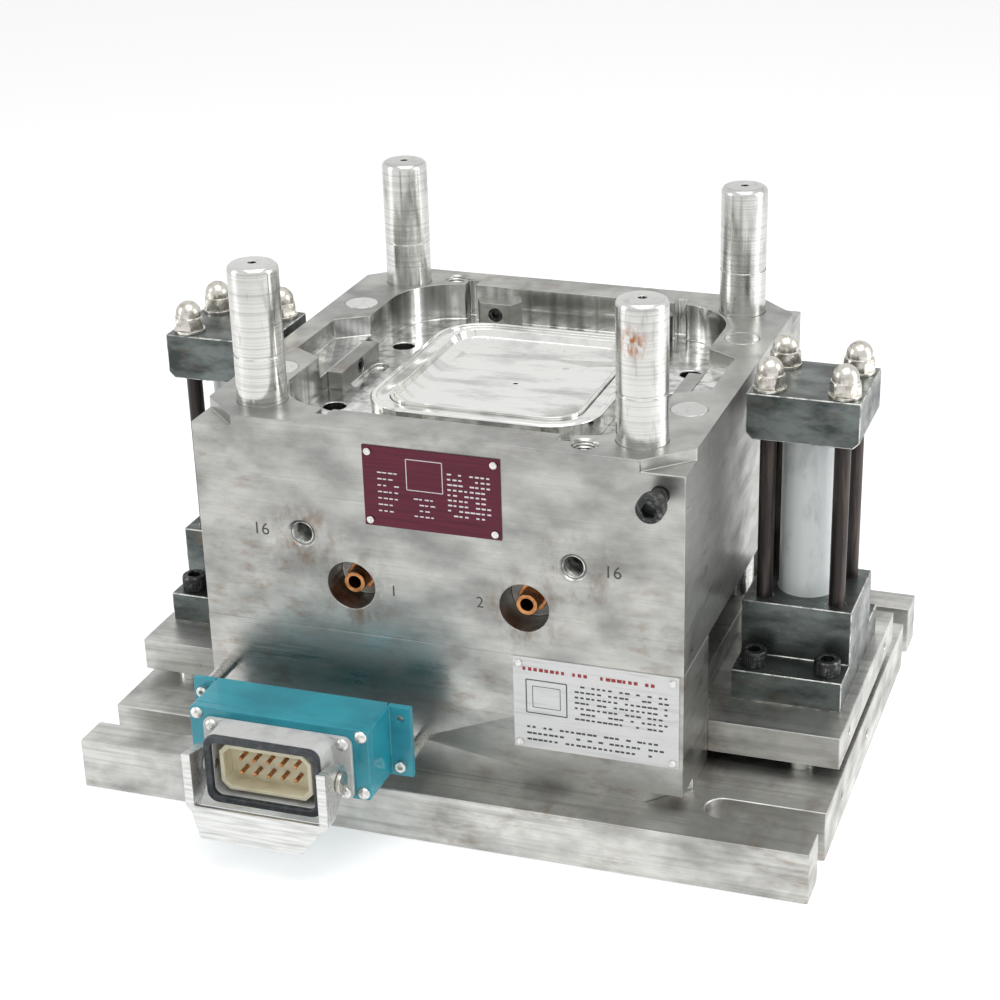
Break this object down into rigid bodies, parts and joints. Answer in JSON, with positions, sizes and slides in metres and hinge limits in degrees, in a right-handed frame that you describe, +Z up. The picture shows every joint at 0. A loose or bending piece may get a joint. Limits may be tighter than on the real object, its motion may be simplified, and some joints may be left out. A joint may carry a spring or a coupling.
{
  "type": "mould base",
  "caption": "Hot-runner mould half with a stripper ring in a rounded pocket, leader pins, an ejector plate raised by side cylinders, and a wired connector box.",
  "frame": {"origin": "centre of the clamp plate's underside, on the axis of the locating ring's seat", "axes": "+X to the right along the front face, from cylinder to cylinder; +Y from the connector side to the back; +Z up, the opening direction"},
  "size_m": [0.465, 0.423, 0.336],
  "materials": {
    "ground_steel": "surface-ground tool steel with fine scratches",
    "hardened_steel": "hardened and cylindrically ground steel, lightly oiled",
    "polished_steel": "mirror-polished mould steel",
    "black_screw": "black-oxide screw steel",
    "bronze": "machined bronze and brass",
    "cylinder_paint": "dark grey-green paint, worn at the edges",
    "barrel_white": "satin white paint",
    "dark_rod": "dark phosphated steel",
    "zinc_steel": "zinc-plated and stainless steel",
    "chart_maroon": "anodised aluminium, maroon",
    "data_white": "white-coated aluminium",
    "box_teal": "teal enamel on cast aluminium",
    "housing_grey": "light grey powder coat on die-cast zinc",
    "gasket_black": "moulded nitrile rubber",
    "insert_cream": "moulded polycarbonate, cream"
  },
  "bodies": {
    "mould_frame": {"base_clamp_plate": "ground_steel", "front_spacer_block": "ground_steel", "back_spacer_block": "ground_steel", "stop_buttons": "hardened_steel", "frame_screws": "black_screw", "support_pillars": "hardened_steel", "clamp_plate_screws": "black_screw", "cavity_plate": "ground_steel", "front_left_leader_pin": "hardened_steel", "front_right_leader_pin": "hardened_steel", "back_left_leader_pin": "hardened_steel", "back_right_leader_pin": "hardened_steel", "cavity_plate_screws": "black_screw", "wear_blocks": "hardened_steel", "wear_screws": "black_screw", "side_wear_plates": "hardened_steel", "core_insert": "polished_steel", "core_insert_screws": "black_screw", "hot_runner_nozzle": "hardened_steel", "nozzle_heater": "bronze", "vent_pin": "polished_steel", "left_water_nipple": "bronze", "right_water_nipple": "bronze", "water_channel_plug": "ground_steel", "ejector_guide_pins": "hardened_steel", "left_piston_rod": "hardened_steel", "right_piston_rod": "hardened_steel", "wiring_chart_plate": "chart_maroon", "mould_data_plate": "data_white", "plate_rivets": "zinc_steel", "strap_screw": "black_screw", "junction_box": "box_teal", "box_cover": "box_teal", "box_cover_screws": "zinc_steel", "box_standoffs": "zinc_steel", "box_lug_screws": "zinc_steel", "connector_housing": "housing_grey", "connector_gasket": "gasket_black", "connector_insert": "insert_cream", "connector_contacts": "bronze", "housing_screws": "zinc_steel", "lever_pivots": "zinc_steel"},
    "ejector": {"ejector_plate": "ground_steel", "ejector_retainer_plate": "ground_steel", "ejector_plate_screws": "black_screw", "return_pins": "hardened_steel", "push_rods": "hardened_steel", "ejector_guide_bushes": "bronze", "stripper_ring": "polished_steel", "left_front_cap": "cylinder_paint", "left_barrel": "barrel_white", "left_rear_cap": "cylinder_paint", "right_front_cap": "cylinder_paint", "right_barrel": "barrel_white", "right_rear_cap": "cylinder_paint", "tie_rods": "dark_rod", "tie_rod_washers": "zinc_steel", "acorn_nuts": "zinc_steel", "flange_bolts": "black_screw"},
    "connector_lever": {"locking_lever": "zinc_steel"}
  },
  "joints": [
    {"name": "ejector_stroke", "type": "slide", "parent": "mould_frame", "child": "ejector", "axis": [0, 0, 1], "range_m": [0, 0.04]},
    {"name": "lever_pivot", "type": "hinge", "parent": "mould_frame", "child": "connector_lever", "pos_m": [-0.076, -0.229, 0.068], "axis": [1, 0, 0], "range_deg": [0, 50]}
  ]
}
